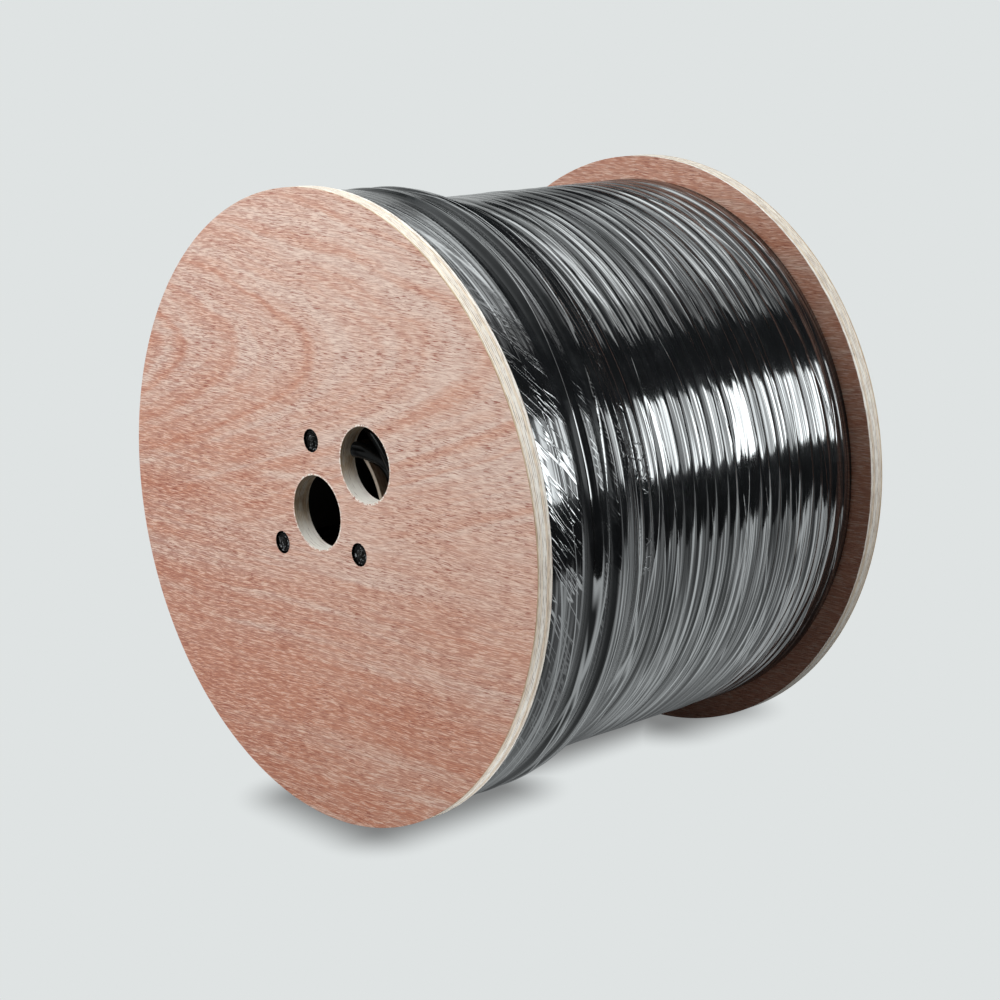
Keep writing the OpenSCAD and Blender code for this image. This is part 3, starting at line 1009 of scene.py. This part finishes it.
class CABLEDRUM_OT_cable_tail(Operator):
    """Model the cable's inner end in the lead hole"""
    bl_idname = "cabledrum.cable_tail"
    bl_label = "Cable tail"

    def execute(self, context):
        sizes, winding = context.scene.drum_sizes, context.scene.winding_sizes
        deselect()
        curve = bpy.data.curves.new("cable_tail_lead", "CURVE")
        curve.dimensions = "3D"
        curve.bevel_depth = winding.cable_radius
        curve.bevel_resolution = 8
        curve.use_fill_caps = True
        line = curve.splines.new("POLY")
        points = self.route(sizes, winding)
        line.points.add(len(points) - 1)
        for made, point in zip(line.points, points):
            made.co = (*point, 1)
        piece = bpy.data.objects.new("cable_tail_lead", curve)
        context.scene.collection.objects.link(piece)
        hold(piece)
        bpy.ops.object.convert(target="MESH")
        piece = context.active_object
        bevel_edges(piece, sharp(60), CABLE_BREAK, 3)
        smooth(piece, 50)
        give(piece, "cable_tail", "cable_jacket", bpy.data.materials["Cable jacket"])
        return {"FINISHED"}

    def route(self, sizes, winding):
        """From the winding along the barrel and over its end, as a smooth curve through a few points."""
        first = sizes.barrel_radius + winding.cable_radius
        start = sizes.lead_angle - math.radians(19)
        thick = sizes.flange_thickness
        start_depth = thick + 2 * winding.cable_radius
        cos, sin = math.cos(sizes.lead_angle), math.sin(sizes.lead_angle)

        def lead_point(out, side, depth):
            """A point by the lead hole: out from the first layer, along its turn, in from the front face."""
            return Vector(((first + out) * cos - side * sin, (first + out) * sin + side * cos, depth))

        begin = Vector((first * math.cos(start), first * math.sin(start), start_depth))
        stops = [begin, begin + 0.008 * Vector((-math.sin(start), math.cos(start), 0)),
                 lead_point(0.0002, -0.0041, start_depth), lead_point(0.0005, 0.0033, thick + 0.0068),
                 lead_point(0.0001, 0.0096, thick - 0.0002), lead_point(-0.0021, 0.0135, thick - 0.0046),
                 lead_point(-0.0052, 0.016, thick - 0.0058)]
        stops = [2 * stops[0] - stops[1], *stops, 2 * stops[-1] - stops[-2]]
        points, steps = [], 10
        for index in range(len(stops) - 3):
            a, b, c, d = stops[index:index + 4]
            for part in range(steps):
                u = part / steps
                points.append(((1 - u) ** 3 * a + (3 * u ** 3 - 6 * u * u + 4) * b
                               + (-3 * u ** 3 + 3 * u * u + 3 * u + 1) * c + u ** 3 * d) / 6)
        points.append(stops[-2].copy())
        return [(p.x, p.z - sizes.half_width, AXIS_Z + p.y) for p in points]


# Stage

COOL, PLAIN = (0.93, 0.985, 1.0), (1.0, 1.0, 1.0)
# Name, setting with its radiance, colour, place, aim, width and height, and the rays that don't see it
SOFTBOXES = (
    ("Side softbox", "side_light", COOL, (1.75, 2.0, 0.84), (-1.0, 0.0, -0.10), (3.8, 0.94), "diffuse"),
    ("Far side softbox", "side_light", COOL, (-1.75, -2.0, 0.84), (1.0, 0.0, -0.10), (3.8, 0.94), "diffuse"),
    ("Top softbox", "top_light", COOL, (-0.25, 0.25, 1.8), (0.1, 0.0, -1.0), (2.5, 1.7), "camera"),
    ("Key softbox", "key_light", PLAIN, (-1.30, -2.90, 0.95), (0.416, 0.878, -0.237), (1.3, 1.3), "glossy"),
    ("Face softbox", "face_light", PLAIN, (-0.22, -1.25, 0.76), (0.22, 1.095, -0.55), (0.4, 0.4), "glossy"),
    ("Hole softbox", "hole_light", PLAIN, (0.25, -1.0, 2.2), (-0.25, 0.845, -1.99), (0.8, 0.8), "glossy"),
    ("Low softbox", "low_light", PLAIN, (0.20, -0.03, 0.003), (-0.05, 0.0, 1.0), (0.26, 0.4), "glossy"),
    ("Rim softbox", "rim_light", PLAIN, (1.6, 0.6, 1.3), (-0.78, -0.3, -0.55), (0.8, 1.0), "glossy"),
    ("Back softbox", "back_light", PLAIN, (-1.0, 2.8, 1.2), (0.33, -0.89, -0.32), (1.3, 1.3), "glossy"),
)
# Softboxes that light the front flange alone
FRONT_ONLY = ("Hole softbox", "Low softbox")
# Corners of the black cloths that show as dark bands in gloss
FLAGS = {
    "Back_flag": [(2.1, -0.6, 0.0), (2.1, 4.2, 0.0), (2.1, 4.2, 2.4), (2.1, -0.6, 2.4)],
    "End_flag": [(2.1, 4.2, 0.0), (-4.5, 4.2, 0.0), (-4.5, 4.2, 3.4), (2.1, 4.2, 3.4)],
    "Low_flag": [(0.72, -0.5, 0.0), (0.72, 2.4, 0.0), (0.72, 2.4, 0.20), (0.72, -0.5, 0.20)],
    "High_flag": [(2.1, -0.6, 1.4), (2.1, 4.2, 1.4), (1.06, 4.2, 1.95), (1.06, -0.6, 1.95)],
}
# Patches of the shadow on the floor: left, right, front and back end, and the width of the soft edge
SHADOW = (
    (-0.032, 0.045, -0.150, -0.042, 0.054),
    (-0.014, 0.014, -0.008, 0.160, 0.049),
    (-0.034, 0.034, 0.140, 0.196, 0.060),
)
# Tones of the floor in matt light, of its shadow, of the paper that gloss sees under the drum, and of a flag
FLOOR_MATT, SHADOW_TONE = (0.09, 0.09, 0.09), (0.22, 0.225, 0.225)
PAPER_SHADE, FLAG_BLACK = (0.19, 0.2, 0.205), (0.004, 0.004, 0.004)
FLOOR_SIZE, SENSOR_WIDTH = 40.0, 36.0


class CABLEDRUM_OT_stage(Operator):
    """Set up the floor, the lights and the camera"""
    bl_idname = "cabledrum.stage"
    bl_label = "Stage"

    def execute(self, context):
        scene, stage = context.scene, context.scene.drum_stage
        self.floor(scene.drum_colours.background)
        self.world(scene, stage, opaque(scene.drum_colours.background))
        front = bpy.data.collections.new("Front flange alone")
        front.objects.link(bpy.data.objects["front_flange_plywood"])
        for name, setting, colour, place, aim, size, blind in SOFTBOXES:
            lamp = self.softbox(name, place, aim, size, getattr(stage, setting), colour)
            setattr(lamp, "visible_" + blind, False)
            if name in FRONT_ONLY:
                lamp.light_linking.receiver_collection = front
        cloth = new_material("Flag cloth", Base_Color=opaque(FLAG_BLACK), Specular_IOR_Level=0.0)[0]
        for name, corners in FLAGS.items():
            self.flag(name, corners, cloth)
        self.camera(scene, stage)
        scene.view_settings.view_transform = "Standard"
        return {"FINISHED"}

    def floor(self, pale):
        """A pale floor that keeps a soft shadow under the drum."""
        deselect()
        bpy.ops.mesh.primitive_plane_add(size=FLOOR_SIZE, location=(0, 0, 0))
        floor = bpy.context.active_object
        floor.name = floor.data.name = "Floor"
        material = bpy.data.materials.new("Floor paper")
        tree = bare_tree(material)
        x, y, _ = split(object_place(tree))

        def outside(value, low, high):
            """How far a value lies outside a range."""
            return larger(larger(low - value, value - high), 0.0)

        open_floor = 1.0
        for left, right, near, far, fade in SHADOW:
            way = reach(outside(x, left, right), outside(y, near, far))
            open_floor = calc("MINIMUM", open_floor, fit(way, 0.0, fade))
        shade = mix(open_floor, SHADOW_TONE, pale)
        # What gloss sees: white paper with painted shade under the drum
        paper = mix(fit(abs(x), 0.05, 0.16), PAPER_SHADE, COOL)
        direct = take(tree, "ShaderNodeLightPath", output="Is Camera Ray")
        glow = take(tree, "ShaderNodeEmission", {"Color": mix(direct, paper, shade)})
        matt = take(tree, "ShaderNodeBsdfDiffuse", {"Color": opaque(FLOOR_MATT)})
        put(tree, "ShaderNodeOutputMaterial", {0: self.either(tree, matt, glow)})
        floor.data.materials.append(material)

    def either(self, tree, matt, seen):
        """One shader for light that falls on matt surfaces, another for what camera, gloss and glass see."""
        path = put(tree, "ShaderNodeLightPath").outputs
        kinds = ("Camera", "Glossy", "Transmission")
        camera, gloss, glass = (Value(path[f"Is {kind} Ray"]) for kind in kinds)
        return take(tree, "ShaderNodeMixShader", {0: larger(larger(camera, gloss), glass), 1: matt, 2: seen})

    def world(self, scene, stage, pale):
        scene.world = bpy.data.worlds.new("Studio")
        tree = bare_tree(scene.world)
        sky = take(tree, "ShaderNodeBackground", {"Color": pale, "Strength": stage.fill_light})
        backdrop = take(tree, "ShaderNodeBackground", {"Color": pale, "Strength": 1.0})
        put(tree, "ShaderNodeOutputWorld", {0: self.either(tree, sky, backdrop)})

    def softbox(self, name, place, aim, size, radiance, colour):
        deselect()
        turn = Vector(aim).to_track_quat("-Z", "Y").to_euler()
        bpy.ops.object.light_add(type="AREA", location=place, rotation=turn)
        lamp = bpy.context.active_object
        lamp.name = lamp.data.name = name
        lamp.data.shape = "RECTANGLE"
        lamp.data.size, lamp.data.size_y = size
        lamp.data.color = colour
        lamp.data.energy = radiance * math.pi * size[0] * size[1]
        lamp.visible_camera = False
        return lamp

    def flag(self, name, corners, cloth):
        """A black cloth on each side of the drum that only gloss sees."""
        mesh = bpy.data.meshes.new(name)
        mesh.from_pydata([*corners, *((-x, -y, z) for x, y, z in corners)], [], [(0, 1, 2, 3), (4, 5, 6, 7)])
        mesh.materials.append(cloth)
        flag = bpy.data.objects.new(name, mesh)
        bpy.context.scene.collection.objects.link(flag)
        for rays in ("camera", "diffuse", "shadow", "transmission", "volume_scatter"):
            setattr(flag, "visible_" + rays, False)

    def camera(self, scene, stage):
        deselect()
        turn = Vector(stage.camera_aim).to_track_quat("-Z", "Y").to_euler()
        bpy.ops.object.camera_add(location=stage.camera_place, rotation=turn)
        camera = bpy.context.active_object
        camera.name = camera.data.name = "Camera"
        camera.data.lens = stage.lens
        camera.data.sensor_width = SENSOR_WIDTH
        scene.camera = camera


class CABLEDRUM_PT_panel(Panel):
    """Sizes, colours and steps of the cable drum"""
    bl_idname = "CABLEDRUM_PT_panel"
    bl_label = "Cable Drum"
    bl_space_type = "VIEW_3D"
    bl_region_type = "UI"
    bl_category = "Cable Drum"

    def draw(self, context):
        for operator in OPERATORS:
            self.layout.operator(operator.bl_idname)
        for name in GROUPS:
            box = self.layout.box()
            settings = getattr(context.scene, name)
            for key in settings.__annotations__:
                box.prop(settings, key)


GROUPS = {"drum_sizes": DrumSizes, "winding_sizes": WindingSizes, "drum_colours": DrumColours,
          "drum_stage": StageSettings}
OPERATORS = (CABLEDRUM_OT_flanges, CABLEDRUM_OT_barrel, CABLEDRUM_OT_tie_rods, CABLEDRUM_OT_winding,
             CABLEDRUM_OT_cable_tail, CABLEDRUM_OT_stage)
CLASSES = (*GROUPS.values(), *OPERATORS, CABLEDRUM_PT_panel)


def register():
    for made in CLASSES:
        bpy.utils.register_class(made)
    for name, made in GROUPS.items():
        setattr(bpy.types.Scene, name, PointerProperty(type=made))


def unregister():
    for name in GROUPS:
        delattr(bpy.types.Scene, name)
    for made in reversed(CLASSES):
        bpy.utils.unregister_class(made)


def main():
    register()
    bpy.ops.cabledrum.flanges()
    bpy.ops.cabledrum.barrel()
    bpy.ops.cabledrum.tie_rods()
    bpy.ops.cabledrum.winding()
    bpy.ops.cabledrum.cable_tail()
    bpy.ops.cabledrum.stage()


if __name__ == "__main__":
    main()
